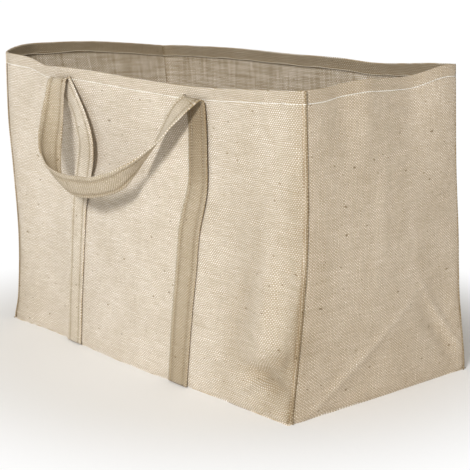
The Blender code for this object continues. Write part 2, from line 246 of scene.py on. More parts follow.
# Strap, where a band lies on its wall, bottom to top: height, place along X, how far it
# stands off the cloth, how much more its right side stands off, as a share of the width.
# Bend, where it hangs free: its middle, the direction across it, how deep it is cupped.
Strap = namedtuple("Strap", "height x off turn", defaults=(0.0, 0.0))
Bend = namedtuple("Bend", "x y z wide_x wide_y wide_z cup", defaults=(0.003,))
Band = namedtuple("Band", "wall rising loop falling")
BANDS = {
    "front_band": Band(
        "front_panel",
        table(
            Strap, (0.002, -0.1468), (0.06, -0.1473), (0.12, -0.1422), (0.18, -0.1372),
            (0.235, -0.1302, 0.002), (0.275, -0.1134, 0.008), (0.31, -0.099, 0.012),
            (0.34, -0.1056, 0.01, 0.1), (0.368, -0.118, 0.006, 0.26), (0.398, -0.1451, 0.001, 0.05),
        ),
        table(
            Bend, (-0.1465, -0.2, 0.38, 0.96, 0.22, 0.14),
            (-0.1402, -0.2095, 0.3485, 0.83, 0.54, 0.04, 0.007),
            (-0.1307, -0.2226, 0.3146, 0.4, 0.9, -0.1, 0.008),
            (-0.12, -0.23, 0.2934, 0.1, 0.88, -0.45, 0.006),
            (-0.099, -0.2358, 0.2725, 0.0, 0.68, -0.73, 0.004),
            (-0.0703, -0.2371, 0.2632, 0.0, 0.5, -0.86),
            (-0.0362, -0.2369, 0.2639, -0.28, 0.42, -0.86),
            (-0.0006, -0.2333, 0.2688, -0.22, 0.55, -0.8),
            (0.0294, -0.2262, 0.2798, -0.35, 0.5, -0.8),
            (0.0475, -0.2191, 0.2939, -0.5, 0.58, -0.64),
            (0.0622, -0.2097, 0.3085, -0.62, 0.68, -0.4),
            (0.0737, -0.198, 0.3264, -0.73, 0.64, -0.23), (0.086, -0.191, 0.345, -0.86, 0.5, -0.1),
            (0.098, -0.184, 0.366, -0.92, 0.39, 0.05, 0.002),
            (0.109, -0.176, 0.384, -0.98, 0.1, 0.0, 0.001),
        ),
        table(
            Strap, (0.002, 0.1066), (0.06, 0.1091), (0.11, 0.1118), (0.165, 0.1161), (0.22, 0.1206),
            (0.28, 0.1349, 0.001, 0.05), (0.33, 0.1319, 0.002, 0.06), (0.366, 0.1264, 0.002, 0.05),
            (0.392, 0.1198, 0.002, 0.03),
        ),
    ),
    "back_band": Band(
        "back_panel",
        table(
            Strap, (0.002, 0.13), (0.08, 0.13), (0.16, 0.132), (0.24, 0.131), (0.32, 0.133),
            (0.37, 0.133), (0.4, 0.132, 0.001),
        ),
        table(
            Bend, (0.125, 0.197, 0.374, -1.0, -0.05, 0.0, 0.001),
            (0.121, 0.206, 0.345, -0.97, -0.2, -0.05),
            (0.112, 0.214, 0.315, -0.85, -0.45, -0.2, 0.004),
            (0.094, 0.222, 0.283, -0.55, -0.7, -0.4, 0.004),
            (0.062, 0.228, 0.257, -0.2, -0.7, -0.68), (0.018, 0.23, 0.246, 0.0, -0.62, -0.78),
            (-0.028, 0.23, 0.248, 0.05, -0.66, -0.75), (-0.07, 0.228, 0.264, 0.25, -0.76, -0.6),
            (-0.1, 0.221, 0.294, 0.6, -0.72, -0.35, 0.004),
            (-0.118, 0.212, 0.325, 0.88, -0.45, -0.12, 0.004),
            (-0.129, 0.203, 0.353, 0.98, -0.18, 0.0, 0.002),
            (-0.134, 0.195, 0.378, 1.0, -0.05, 0.0, 0.001),
        ),
        table(
            Strap, (0.002, -0.143), (0.07, -0.142), (0.14, -0.141), (0.22, -0.14), (0.3, -0.138),
            (0.36, -0.139), (0.4, -0.138, 0.001),
        ),
    ),
}

# Crease: share of the way along, height, direction in degrees, half length, half width, out
Crease = namedtuple("Crease", "along up turned half_length half_width out")
CREASES = {
    "front_panel": table(
        Crease, (0.927, 0.068, 38.0, 0.048, 0.01, -0.007),
        (0.93, 0.048, -10.0, 0.05, 0.01, -0.0065), (0.89, 0.024, 32.0, 0.034, 0.009, 0.0035),
        (0.955, 0.13, 86.0, 0.09, 0.014, -0.0042), (0.9, 0.14, 84.0, 0.07, 0.012, 0.003),
        (0.83, 0.12, 75.0, 0.08, 0.02, -0.0025), (0.03, 0.05, 75.0, 0.05, 0.015, -0.0025),
    ),
    "right_end_panel": table(
        Crease, (0.863, 0.08, -54.0, 0.07, 0.005, 0.0026), (0.82, 0.07, -54.0, 0.06, 0.012, -0.003),
        (0.32, 0.056, 33.0, 0.13, 0.006, 0.0024), (0.36, 0.03, 33.0, 0.11, 0.016, -0.0018),
        (0.45, 0.24, 82.0, 0.11, 0.012, 0.0012),
    ),
    "back_panel": table(
        Crease, (0.12, 0.07, 130.0, 0.06, 0.012, -0.003), (0.86, 0.06, 50.0, 0.06, 0.014, -0.003),
    ),
    "left_end_panel": table(
        Crease, (0.2, 0.08, 58.0, 0.06, 0.01, -0.0025), (0.78, 0.06, -45.0, 0.07, 0.01, -0.0022),
    ),
}

# Patches of painted shade and painted light over the cloth's dents, creases and folds: share
# of the way along, height, direction in degrees, half length, half width, change of brightness
ShadingPatch = namedtuple("ShadingPatch", "along up turned half_length half_width change")
SHADING_PATCHES = {
    "front_panel": table(
        ShadingPatch, (0.93, 0.066, 38.0, 0.052, 0.013, -0.19), (0.927, 0.048, -10.0, 0.054, 0.013, -0.28),
        (0.978, 0.215, 90.0, 0.23, 0.022, -0.13), (0.972, 0.07, 68.0, 0.12, 0.024, -0.25),
        (0.83, 0.13, 80.0, 0.095, 0.03, -0.11), (0.88, 0.21, 90.0, 0.24, 0.1, -0.17),
        (0.895, 0.2, 88.0, 0.09, 0.014, 0.06), (0.02, 0.04, 60.0, 0.06, 0.045, -0.14),
        (0.45, 0.06, 0.0, 0.15, 0.08, 0.03),
    ),
    "right_end_panel": table(
        ShadingPatch, (0.863, 0.08, -54.0, 0.07, 0.004, 0.12), (0.815, 0.072, -54.0, 0.055, 0.012, -0.08),
        (0.32, 0.056, 33.0, 0.13, 0.005, 0.1), (0.43, 0.24, 84.0, 0.12, 0.014, 0.06),
        (0.65, 0.23, 88.0, 0.1, 0.012, 0.06), (0.06, 0.12, 84.0, 0.15, 0.02, -0.1),
        (0.12, 0.09, 0.0, 0.08, 0.03, -0.08), (0.85, 0.39, 0.0, 0.08, 0.05, 0.08),
    ),
}

# Rows of a wall near its rim: metres above the hem line, share of the hem's thickness, how
# far the outside is drawn in
HEM_ROWS = (
    (-0.003, 0.5, 0.0), (0.0, 0.5, 0.0),
    *((up, 1.0, 0.0) for up in (0.0008, 0.0018, 0.0028, 0.004, 0.007, 0.01, 0.013, 0.0155)),
    (0.0168, 0.95, 0.0001), (0.0176, 0.75, 0.0004), (HEM_DEPTH, 0.45, 0.0009),
)

# Columns of a band, the same on both sides: share of its half width, share of its thickness
HALF_SECTION = (
    (0.35, 1.0), (0.53, 0.95), (0.585, 0.66), (0.62, 0.5), (0.655, 0.66), (0.71, 0.98),
    (0.8, 1.12), (0.9, 1.05), (0.97, 0.85), (1.0, 0.45),
)
BAND_SECTION = (
    *((-side, share) for side, share in reversed(HALF_SECTION)), (0.0, 1.0), *HALF_SECTION)
# Where the topstitches run, as a share of the half width, and the painted shade of their groove
TOPSTITCH = 0.62
GROOVE_SHADE = 0.50
GROOVE_WIDTH = 0.075

# Tone of a band from end to end: share of its length, brightness. It is partly the bands' own
# uneven tone and partly painted shade: the dip high on the right-hand strap is the loop's
# painted shadow, and the darker stretch of the loop is partly painted shade.
Tone = namedtuple("Tone", "share value")
BAND_TONES_AND_SHADE = {
    "front_band": table(
        Tone, (0.0, 1.1), (0.31, 1.14), (0.34, 0.86), (0.52, 0.86), (0.6, 1.0), (0.665, 1.0),
        (0.7, 0.48), (0.75, 0.54), (0.8, 0.72), (1.0, 0.7),
    ),
    "back_band": table(Tone, (0.0, 0.8), (0.5, 0.95), (1.0, 0.8)),
}
HEM_TONE = 0.90
# Dark line of a corner seam: it is wider low down, from a height on, and its width wavers
SEAM_TONE = 0.48
SEAM_TONE_SPAN = 0.0034
SEAM_WIDER = 0.8
SEAM_WIDER_BELOW = 0.24
SEAM_WIDER_FADE = 0.10
SEAM_WAVER = 0.35
WAVER_RATE = 58.0
WAVER_SLOW_RATE = 23.0
WAVER_SHIFT = 1.5
# Painted shade: a darker strip of the front panel beside its seams, where it turns from the light
EDGE_SHADE = 0.90
EDGE_SHADE_SPAN = 0.020

# Speckle of the jute: waves per metre across and along, how fine, which noise. The tone of
# single threads changes from one thread to the next instead of per metre across.
Speckle = namedtuple("Speckle", "across along detail seed")
WARP_WANDER = Speckle(70.0, 26.0, 2.0, 3.0)
WEFT_WANDER = Speckle(26.0, 70.0, 2.0, 9.0)
WARP_TONE = Speckle(7.31, 45.0, 2.0, 1.0)
WEFT_TONE = Speckle(5.17, 45.0, 2.0, 5.0)
CLOUDS = Speckle(18.0, 18.0, 3.0, 12.0)
SLUBS = Speckle(14.0, 220.0, 2.0, 17.0)
WARP_STREAKS = Speckle(230.0, 14.0, 2.0, 23.0)
WEFT_STREAKS = Speckle(14.0, 230.0, 2.0, 27.0)
FLECKS = Speckle(100.0, 170.0, 1.0, 31.0)
LUMPS = Speckle(40.0, 40.0, 3.0, 20.0)

# What laid threads give a material: their height, where warp is on top, tone of each thread
Threads = namedtuple("Threads", "high warp_over tone")

# The cloth's two faces: the rough outer one and the smooth inner one with its streaks.
# Depth is how strong the painted shade in the gaps and on the warp is, cloud how uneven the
# tone, relief how far threads stand out.
Face = namedtuple("Face", "roughness specular sheen depth cloud relief streaked")
OUTER_FACE = Face(0.92, 0.2, 0.1, 1.0, 0.28, 0.9, False)
INNER_FACE = Face(0.55, 0.35, 0.0, 1.3, 0.5, 0.35, True)
# Multiplied and added to make a shade: the crown of a thread over its dip, single threads,
# slubs, streaks, the painted shade of the gaps with painted highlight on the crowns, and the
# twist of sewing thread
CROWN = (0.6, 0.4)
THREAD_SHADE = (0.75, 0.675)
SLUB_SHADE = (0.16, 0.92)
STREAK_SHADE = (1.1, -0.1)
GAP_SHADE = (0.62, -0.36)
TWIST_SHADE = (0.3, 0.85)
# How much darker warp is than weft, painted shade of light falling from one side, how far warp
# and weft wander, in pitches, and how much wider apart a band's weft lies than its warp
WARP_SHADE = 0.44
WANDER = (2.4, 1.8)
BAND_WEFT = 1.1
# Red, green and blue: powers of the tone, so that darker cloth is browner, and what is left
# of the colour in the painted shade of the weave's gaps
BROWNER = (0.85, 1.0, 1.30)
GAP_SHADE_COLOUR = (0.90, 0.80, 0.62)


def length_setting(name, description, default, low, high):
    """Make a setting for a length in metres."""
    return FloatProperty(
        name=name, description=description, default=default, min=low, max=high,
        unit="LENGTH", precision=5)


def colour_setting(name, description, default):
    """Make a setting for a colour."""
    return FloatVectorProperty(
        name=name, description=description, default=default, min=0.0, max=1.0, subtype="COLOR")


class LogBagSettings(bpy.types.PropertyGroup):
    """Sizes, colours and light of the jute log bag."""

    cloth: length_setting("Cloth", "Thickness of the jute cloth", 0.0016, 0.0005, 0.004)
    hem: length_setting("Hem", "Thickness of the turned-in hem", 0.0032, 0.001, 0.008)
    hem_depth: length_setting(
        "Hem depth", "How far the hem reaches down from the rim", HEM_DEPTH, 0.012, 0.04)
    fineness: length_setting(
        "Fineness", "Length of cloth from one grid line to the next", 0.0045, 0.003, 0.02)
    band_width: length_setting("Band width", "Width of the folded carrying bands", 0.038, 0.02, 0.06)
    band_thickness: length_setting(
        "Band thickness", "Thickness of the folded carrying bands", BAND_THICKNESS, 0.001, 0.005)
    warp_pitch: length_setting("Warp pitch", "Distance between two warp threads", 0.0019, 0.0006, 0.004)
    weft_pitch: length_setting("Weft pitch", "Distance between two weft threads", 0.0024, 0.0006, 0.004)
    stitch_length: length_setting(
        "Stitch length", "Length of one stitch that shows", 0.0044, 0.002, 0.008)
    stitch_pitch: length_setting(
        "Stitch pitch", "Distance from one stitch to the next", 0.0048, 0.003, 0.01)
    stitch_sides: IntProperty(
        name="Stitch sides", description="Faces around one stitch", default=6, min=4, max=12)
    cloth_colour: colour_setting("Cloth colour", "Colour of the jute cloth", (0.715, 0.648, 0.556))
    # The end panels are the same jute as the long walls; their darker, browner colour is painted shade
    end_cloth_shaded_colour: colour_setting(
        "End cloth colour", "Colour of the two end panels' jute", (0.665, 0.572, 0.457))
    inside_colour: colour_setting(
        "Inside colour", "Colour of the smooth inner face of the cloth", (0.52, 0.455, 0.365))
    # The turned-in hem is the outer cloth seen inside; its dark colour is painted shade
    turned_hem_shaded_colour: colour_setting(
        "Turned hem colour", "Colour of the hem where it is turned in", (0.36, 0.30, 0.215))
    band_colour: colour_setting("Band colour", "Colour of the folded bands", (0.64, 0.568, 0.458))
    hem_thread_colour: colour_setting(
        "Hem thread colour", "Colour of the thread of the hem", (0.92, 0.89, 0.82))
    inner_thread_colour: colour_setting(
        "Inner hem thread colour", "Colour of the thread inside the hem", (0.62, 0.54, 0.42))
    band_thread_colour: colour_setting(
        "Band thread colour", "Colour of the thread of the bands", (0.55, 0.46, 0.34))
    key_power: FloatProperty(
        name="Key light", description="Power of the large soft light",
        default=205.0, min=0.0, unit="POWER")
    sky_colour: colour_setting(
        "Surrounding colour", "Colour of the light from all around", (1.0, 0.95, 0.86))
    sky_strength: FloatProperty(
        name="Surrounding light", description="Strength of the light from all around",
        default=0.37, min=0.0)


def smooth_value(knots, values, at):
    """Read a smooth curve through the values at their knots."""
    if at <= knots[0]:
        return values[0]
    if at >= knots[-1]:
        return values[-1]
    low = bisect_right(knots, at) - 1
    high = low + 1

    def slope(index):
        before = max(index - 1, 0)
        after = min(index + 1, len(knots) - 1)
        return (values[after] - values[before]) / (knots[after] - knots[before])

    span = knots[high] - knots[low]
    share = (at - knots[low]) / span
    square = share * share
    cube = square * share
    return (
        values[low] * (2.0 * cube - 3.0 * square + 1.0)
        + slope(low) * (span * (cube - 2.0 * square + share))
        + values[high] * (3.0 * square - 2.0 * cube)
        + slope(high) * (span * (cube - square))
    )


def read_table(rows, at, column):
    """Read a smooth curve through one column of a table, by its first column."""
    return smooth_value([row[0] for row in rows], [getattr(row, column) for row in rows], at)


def fade(share):
    """Rise softly from 0 to 1."""
    share = min(max(share, 0.0), 1.0)
    return share * share * (3.0 - 2.0 * share)


def hump(distance, span):
    """Fall softly from 1 towards 0 over a span to either side."""
    return math.exp(-(distance / span) ** 2)


def corner_point(name, height):
    """Give the place of a standing corner at a height."""
    rows = CORNERS[name]
    return Vector((read_table(rows, height, "x"), read_table(rows, height, "y"), height))


def is_long(wall):
    """Tell whether a wall is one of the two long ones."""
    return wall.outward in (OUT_FRONT, OUT_BACK)


def wall_length(wall, height):
    """Give the straight length of a wall at a height."""
    return (corner_point(wall.end, height) - corner_point(wall.start, height)).length


def wall_point(name, along, height):
    """Give a point of a wall's outer surface."""
    wall = WALLS[name]
    start = corner_point(wall.start, height)
    end = corner_point(wall.end, height)
    point = start.lerp(end, along)
    length = (end - start).length
    edge = fade(min(along, 1.0 - along) / EDGE_FADE)
    rim = read_table(wall.rims, along, "height")
    reach = read_table(wall.rims, along, "out") * fade((height - rim + RIM_FADE) / RIM_FADE)
    for fold in wall.folds:
        across = (along - fold.along) * length / fold.half_width
        upward = (height - fold.up) / fold.half_height
        reach += fold.out * edge * math.exp(-across * across - upward * upward)
    return point + wall.outward * reach


def spread_of(mark, along, height, length):
    """Give how strongly a crease or patch is felt at a place of its wall, from 0 to 1."""
    turned = math.radians(mark.turned)
    level = (along - mark.along) * length
    upward = height - mark.up
    lengthwise = (level * math.cos(turned) + upward * math.sin(turned)) / mark.half_length
    crosswise = (upward * math.cos(turned) - level * math.sin(turned)) / mark.half_width
    return math.exp(-lengthwise * lengthwise - crosswise * crosswise)


def cloth_point(name, along, height):
    """Give a point of a wall's outside with its creases and the pull of its sewing."""
    wall = WALLS[name]
    length = wall_length(wall, height)
    side = min(along, 1.0 - along) * length
    edge = fade(min(along, 1.0 - along) / EDGE_FADE)
    reach = fade(side / CREASE_FADE) * sum(
        crease.out * spread_of(crease, along, height, length) for crease in CREASES[name])
    reach -= SEAM_DIP * hump(side, SEAM_SPAN)
    if is_long(wall):
        reach -= LONG_ROUND * hump(side, LONG_ROUND_SPAN)
    else:
        reach -= END_ROUND * hump(side, END_ROUND_SPAN)
    reach -= BASE_DIP * hump(height, BASE_SPAN)
    drop = read_table(wall.rims, along, "height") - height
    reach -= STITCH_DIP * hump(drop - STITCH_DROP, STITCH_SPAN)
    # Each wall reads the noise at its own level, so no two pucker alike
    own_level = len(name) * 3.0
    place = Vector((along * length * PUCKER_ALONG, height * PUCKER_UP, own_level))
    reach += PUCKER * noise.noise(place) * fade(1.0 - drop / PUCKER_REACH) * edge
    return wall_point(name, along, height) + wall.outward * reach


def cloth_frame(name, along, height):
    """Give a point of a wall's outside, its outward normal and its level direction."""
    length = wall_length(WALLS[name], height)
    point = cloth_point(name, along, height)
    level = (cloth_point(name, along + SMALL_STEP / length, height) - point).normalized()
    downward = cloth_point(name, along, height - SMALL_STEP) - point
    normal = downward.cross(level).normalized()
    if normal.dot(WALLS[name].outward) < 0.0:
        normal.negate()
    return point, normal, level


def cut_short(wall, along, height, layers):
    """Move a place on an end panel in, because the panel ends between the long walls."""
    if is_long(wall):
        return along
    inset = (layers + SEAM_GAP) / wall_length(wall, height)
    return inset + along * (1.0 - 2.0 * inset)


def spread(count):
    """List even shares from 0 to 1."""
    return [index / count for index in range(count + 1)]


def cloth_columns(length, fineness):
    """List the shares along a wall, closer together beside the seams."""
    close = [distance / length for distance in SEAM_COLUMNS]
    count = round((length - 2.0 * SEAM_COLUMNS[-1]) / fineness)
    middle = [close[-1] + (1.0 - 2.0 * close[-1]) * share for share in spread(count)]
    return close[:-1] + middle + [1.0 - share for share in reversed(close[:-1])]


def cloth_rows(height, hem_depth, fineness):
    """List the rows of a wall: share of the way up to the hem line, metres above it,
    share of the hem's thickness, how far the outside is drawn in."""
    low = [distance / height for distance in BASE_ROWS]
    count = round((height - 2.0 * HEM_APPROACH) / fineness)
    top = 1.0 - HEM_APPROACH / height
    shares = low + [low[-1] + (top - low[-1]) * share for share in spread(count)[1:]]
    rows = [(share, 0.0, 0.5, 0.0) for share in shares]
    rows += [(1.0, extra * hem_depth / HEM_DEPTH, layers, drawn) for extra, layers, drawn in HEM_ROWS]
    return rows


def grid_entry(entries, place):
    """Pick the entry of a grid's column or row from its place between -1 and 1."""
    return entries[round((place + 1.0) / 2.0 * (len(entries) - 1))]


def set_uv(sheet, flat_places):
    """Give a bmesh a map in metres of the flat cloth."""
    layer = sheet.loops.layers.uv.new("cloth")
    for face in sheet.faces:
        for loop in face.loops:
            loop[layer].uv = flat_places[loop.vert.index]


def add_object(name, data):
    """Add an object to the scene."""
    made = bpy.data.objects.new(name, data)
    bpy.context.scene.collection.objects.link(made)
    return made


def finish_mesh(name, shape):
    """Turn a bmesh into a mesh."""
    mesh = bpy.data.meshes.new(name)
    shape.to_mesh(mesh)
    shape.free()
    return mesh


def finish_piece(name, sheet, material, nodes=()):
    """Turn a bmesh into a named piece that rides on the bag."""
    mesh = finish_mesh(name, sheet)
    mesh.materials.append(material)
    mesh.shade_smooth()
    piece = add_object(name, mesh)
    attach(piece, "root")
    if nodes:
        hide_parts(*nodes)
    return piece


def thicken(piece, thickness, offset=-1.0, layered=False):
    """Give a sheet its thickness, by its layers where it has them."""
    solid = piece.modifiers.new("Cloth", "SOLIDIFY")
    solid.thickness = thickness
    solid.offset = offset
    if layered:
        piece.vertex_groups.new(name="layers")
        solid.vertex_group = "layers"
    return solid


def cloth_tone(name, along, height, length, hemmed):
    """Give the brightness of a wall's cloth: lower at the seams and where the hem doubles it,
    with painted shade beside the front panel's seams and painted shade and light in patches."""
    side = min(along, 1.0 - along) * length
    wide = SEAM_TONE_SPAN * (
        1.0 + SEAM_WIDER * fade((SEAM_WIDER_BELOW - height) / SEAM_WIDER_FADE))
    waver = math.sin(WAVER_RATE * height + WAVER_SHIFT * math.sin(WAVER_SLOW_RATE * height))
    wide *= 1.0 + SEAM_WAVER * waver
    value = 1.0 - (1.0 - SEAM_TONE) * hump(side, wide)
    # Painted shade on the front panel beside its seams
    if name == "front_panel":
        value *= 1.0 - (1.0 - EDGE_SHADE) * hump(side, EDGE_SHADE_SPAN)
    # Patches of painted shade and painted light over dents, creases and folds
    for patch in SHADING_PATCHES.get(name, ()):
        value *= 1.0 + patch.change * spread_of(patch, along, height, length)
    return value * (HEM_TONE if hemmed else 1.0)


def make_wall(name, piece_name, settings, outside, inside, shaded_hem_inside):
    """Make one wall as a fine sheet with its hem and give it its thickness."""
    wall = WALLS[name]
    length = wall_length(wall, MID_HEIGHT)
    columns = cloth_columns(length, settings.fineness)
    rows = cloth_rows(RIM_HEIGHT - settings.hem_depth, settings.hem_depth, settings.fineness)
    sheet = bmesh.new()
    bmesh.ops.create_grid(
        sheet, x_segments=len(columns) - 1, y_segments=len(rows) - 1, size=1.0)
    layer = sheet.verts.layers.deform.verify()
    tone = sheet.verts.layers.float.new("tone")
    flat_places = {}
    hem = set()
    for vertex in sheet.verts:
        along = grid_entry(columns, vertex.co.x)
        share, extra, layers, drawn = grid_entry(rows, vertex.co.y)
        height = share * (read_table(wall.rims, along, "height") - settings.hem_depth) + extra
        flat_places[vertex.index] = (along * length, height)
        along = cut_short(wall, along, height, layers * settings.hem)
        vertex.co = cloth_point(name, along, height) - wall.outward * drawn
        vertex[layer][0] = layers
        vertex[tone] = cloth_tone(name, along, height, length, share == 1.0 and extra > 0.0)
        if share == 1.0 and extra >= 0.0:
            hem.add(vertex.index)
    set_uv(sheet, flat_places)
    for face in sheet.faces:
        if all(vertex.index in hem for vertex in face.verts):
            face.material_index = 2
    piece = finish_piece(piece_name, sheet, outside, [name])
    # Inner faces take the material after their outer one: inside under outside, turned hem
    # under hem, in a darker copy of the outer cloth that is painted shade
    for material in (inside, outside, shaded_hem_inside):
        piece.data.materials.append(material)
    thicken(piece, settings.hem, layered=True).material_offset = 1


def make_base(settings, material):
    """Make the base panel, as wide as the walls leave it."""
    sheet = bmesh.new()
    bmesh.ops.create_grid(sheet, x_segments=BASE_FACES[0], y_segments=BASE_FACES[1], size=1.0)
    inset = settings.cloth + SEAM_GAP
    tone = sheet.verts.layers.float.new("tone")
    flat_places = {}
    for vertex in sheet.verts:
        vertex[tone] = 1.0
        right = (vertex.co.x + 1.0) / 2.0
        back = (vertex.co.y + 1.0) / 2.0
        front_edge = wall_point("front_panel", right, 0.0) - OUT_FRONT * inset
        back_edge = wall_point("back_panel", 1.0 - right, 0.0) - OUT_BACK * inset
        right_edge = wall_point("right_end_panel", back, 0.0) - OUT_RIGHT * inset
        left_edge = wall_point("left_end_panel", 1.0 - back, 0.0) - OUT_LEFT * inset
        vertex.co.x = left_edge.x + (right_edge.x - left_edge.x) * right
        vertex.co.y = front_edge.y + (back_edge.y - front_edge.y) * back
        vertex.co.z = settings.cloth
        flat_places[vertex.index] = (vertex.co.x, vertex.co.y)
    set_uv(sheet, flat_places)
    piece = finish_piece("base_cloth", sheet, material, ["bottom_panel"])
    thicken(piece, settings.cloth)


def strap_frame(wall_name, height, x, off, turn):
    """Give the middle of a band on its wall, its level width direction and no cup."""
    wall = WALLS[wall_name]
    start = corner_point(wall.start, height)
    end = corner_point(wall.end, height)
    share_per_metre = 1.0 / (end.x - start.x)
    along = (x - start.x) * share_per_metre
    reach = STRAP_REACH * abs(share_per_metre)
    left = wall_point(wall_name, along - reach, height)
    right = wall_point(wall_name, along + reach, height)
    across = ((right - left).normalized() + wall.outward * turn).normalized()
    clearance = BAND_GAP + BAND_THICKNESS / 2.0 + off
    return wall_point(wall_name, along, height) + wall.outward * clearance, across, 0.0


def strap_frames(wall_name, straps):
    """List the frames of a band from the bottom to the top of its wall."""
    low, high = straps[0].height, straps[-1].height
    rows = math.ceil((high - low) / STRAP_STEP)
    frames = []
    for row in range(rows + 1):
        height = low + (high - low) * row / rows
        places = [read_table(straps, height, column) for column in ("x", "off", "turn")]
        frames.append(strap_frame(wall_name, height, *places))
    return frames


def half_turn(strap, bend, outward):
    """List the tight turn that brings the band from its strap out to its hanging loop."""
    middle = strap[0] + outward * TURN_RADIUS
    across = (strap[1] + bend[1]).normalized()
    frames = []
    for step in range(1, TURN_STEPS):
        angle = math.pi * step / TURN_STEPS
        turned = UP * math.sin(angle) - outward * math.cos(angle)
        frames.append((middle + turned * TURN_RADIUS, across, 0.0))
    return frames


def band_frames(band):
    """List the middle, the width direction and the cup of a band from end to end."""
    outward = WALLS[band.wall].outward
    rising = strap_frames(band.wall, band.rising)
    falling = [(point, -across, cup) for point, across, cup in strap_frames(band.wall, band.falling)]
    falling.reverse()
    loop = []
    for bend in band.loop:
        across = Vector((bend.wide_x, bend.wide_y, bend.wide_z)).normalized()
        loop.append((Vector((bend.x, bend.y, bend.z)), across, bend.cup))
    up_turn = half_turn(rising[-1], loop[0], outward)
    down_turn = half_turn(falling[0], loop[-1], outward)
    down_turn.reverse()
    return rising + up_turn + loop + down_turn + falling


def way_along(frames):
    """List how far along the band each frame is, from middle to middle."""
    far = [0.0]
    for before, after in zip(frames, frames[1:]):
        far.append(far[-1] + (after[0] - before[0]).length)
    return far


def sample_band(frames):
    """Walk along a band and give its middle, run, width direction and cup at each step."""
    knots = way_along(frames)
    stops = []
    for low, high in zip(knots, knots[1:]):
        steps = max(1, math.ceil((high - low) / BAND_STEP))
        stops += [low + (high - low) * step / steps for step in range(steps)]
    stops.append(knots[-1])
    middles, widths, cups = (
        [smooth_value(knots, [frame[column] for frame in frames], stop) for stop in stops]
        for column in range(3)
    )
    samples = []
    for index, middle in enumerate(middles):
        before = middles[max(index - 1, 0)]
        after = middles[min(index + 1, len(middles) - 1)]
        run = (after - before).normalized()
        across = (widths[index] - run * widths[index].dot(run)).normalized()
        samples.append((middle, run, across, cups[index]))
    return samples


def band_surface(sample, side, half_width):
    """Give a point in the middle of a band's thickness and the normal of its front."""
    middle, run, across, cup = sample
    half_chord = half_width * (1.0 - CUP_TAKE * (cup / (2.0 * half_width)) ** 2)
    normal = run.cross(across)
    point = middle + across * (side * half_chord) + normal * (cup * (side * side - 0.5))
    lean = (normal - across * (2.0 * cup * side / half_chord)).normalized()
    return point, lean


def make_band(name, piece_name, settings, material):
    """Make one folded band as a fine strip with its topstitched edges."""
    samples = sample_band(band_frames(BANDS[name]))
    sheet = bmesh.new()
    bmesh.ops.create_grid(
        sheet, x_segments=len(BAND_SECTION) - 1, y_segments=len(samples) - 1, size=1.0)
    layer = sheet.verts.layers.deform.verify()
    tone = sheet.verts.layers.float.new("tone")
    far = way_along(samples)
    flat_places = {}
    half_width = settings.band_width / 2.0
    thickest = max(share for side, share in BAND_SECTION)
    for vertex in sheet.verts:
        side, share = grid_entry(BAND_SECTION, vertex.co.x)
        row = grid_entry(range(len(samples)), vertex.co.y)
        vertex.co = band_surface(samples[row], side, half_width)[0]
        vertex[layer][0] = share / thickest
        # Painted shade in the groove along each topstitch, on top of the band's tone, which carries
        # painted shadow too
        groove_shade = 1.0 - (1.0 - GROOVE_SHADE) * hump(abs(side) - TOPSTITCH, GROOVE_WIDTH)
        vertex[tone] = read_table(BAND_TONES_AND_SHADE[name], far[row] / far[-1], "value") * groove_shade
        flat_places[vertex.index] = (side * half_width, far[row])
    set_uv(sheet, flat_places)
    piece = finish_piece(piece_name, sheet, material, [name])
    thicken(piece, settings.band_thickness * thickest, offset=0.0, layered=True)


def shape_stitch(length, thick, sides):
    """Make the mesh of one stitch, a small rounded dash that lies along Z."""
    shape = bmesh.new()
    size = Matrix.Diagonal((thick, thick * STITCH_FLATNESS, length / 2.0, 1.0))
    bmesh.ops.create_uvsphere(shape, u_segments=sides, v_segments=5, radius=1.0, matrix=size)
    return finish_mesh("stitch", shape)


def add_stitch(stitches, stitch, point, normal, along):
    """Add one stitch at a point, lying along a seam."""
    along = (along - normal * along.dot(normal)).normalized()
    turned = Matrix((along.cross(normal), normal, along)).transposed().to_4x4()
    place = Matrix.Translation(point) @ turned
    stitch.transform(place)
    stitches.from_mesh(stitch)
    stitch.transform(place.inverted())


def make_hem_stitches(name, piece_name, settings, material, inner_material):
    """Sew one wall's hem, with the thread showing outside and inside."""
    wall = WALLS[name]
    length = wall_length(wall, HEM_HEIGHT)
    count = round(length / settings.stitch_pitch)
    stitch = shape_stitch(settings.stitch_length, HEM_STITCH_RADIUS, settings.stitch_sides)
    stitches = bmesh.new()
    inner_stitches = bmesh.new()
    for index in range(count):
        along = cut_short(wall, (index + 0.5) / count, HEM_HEIGHT, settings.hem)
        sway = STITCH_SWAY * noise.noise(Vector((along * length * SWAY_ALONG, len(name), SWAY_LEVEL)))
        height = read_table(wall.rims, along, "height") - STITCH_DROP + sway
        point, normal, level = cloth_frame(name, along, height)
        tilt = STITCH_TILT * noise.noise(Vector((index * TILT_STEP, len(name), 0.0)))
        direction = level + UP * tilt
        add_stitch(stitches, stitch, point + normal * STITCH_LIFT, normal, direction)
        inner = point - normal * (settings.hem + STITCH_LIFT)
        add_stitch(inner_stitches, stitch, inner, normal, direction)
    for face in inner_stitches.faces:
        face.material_index = 1
    stitches.from_mesh(finish_mesh("inner stitches", inner_stitches))
    piece = finish_piece(piece_name, stitches, material)
    piece.data.materials.append(inner_material)


def add_inner_rows(stitches, stitch, wall_name, straps, settings):
    """Add the topstitches of a sewn-on strap where they come through to the inside."""
    wall = WALLS[wall_name]
    low, high = straps[0].height, straps[-1].height
    rows = round((high - low) / settings.stitch_pitch)
    for row in range(1, rows):
        height = low + (high - low) * row / rows
        if read_table(straps, height, "off") > SEWN_OFF:
            continue
        start = corner_point(wall.start, height)
        end = corner_point(wall.end, height)
        for side in (-TOPSTITCH, TOPSTITCH):
            x = read_table(straps, height, "x") + side * settings.band_width / 2.0
            along = (x - start.x) / (end.x - start.x)
            point, normal = cloth_frame(wall_name, along, height)[:2]
            inner = point - normal * (settings.cloth + STITCH_LIFT)
            add_stitch(stitches, stitch, inner, normal, UP)


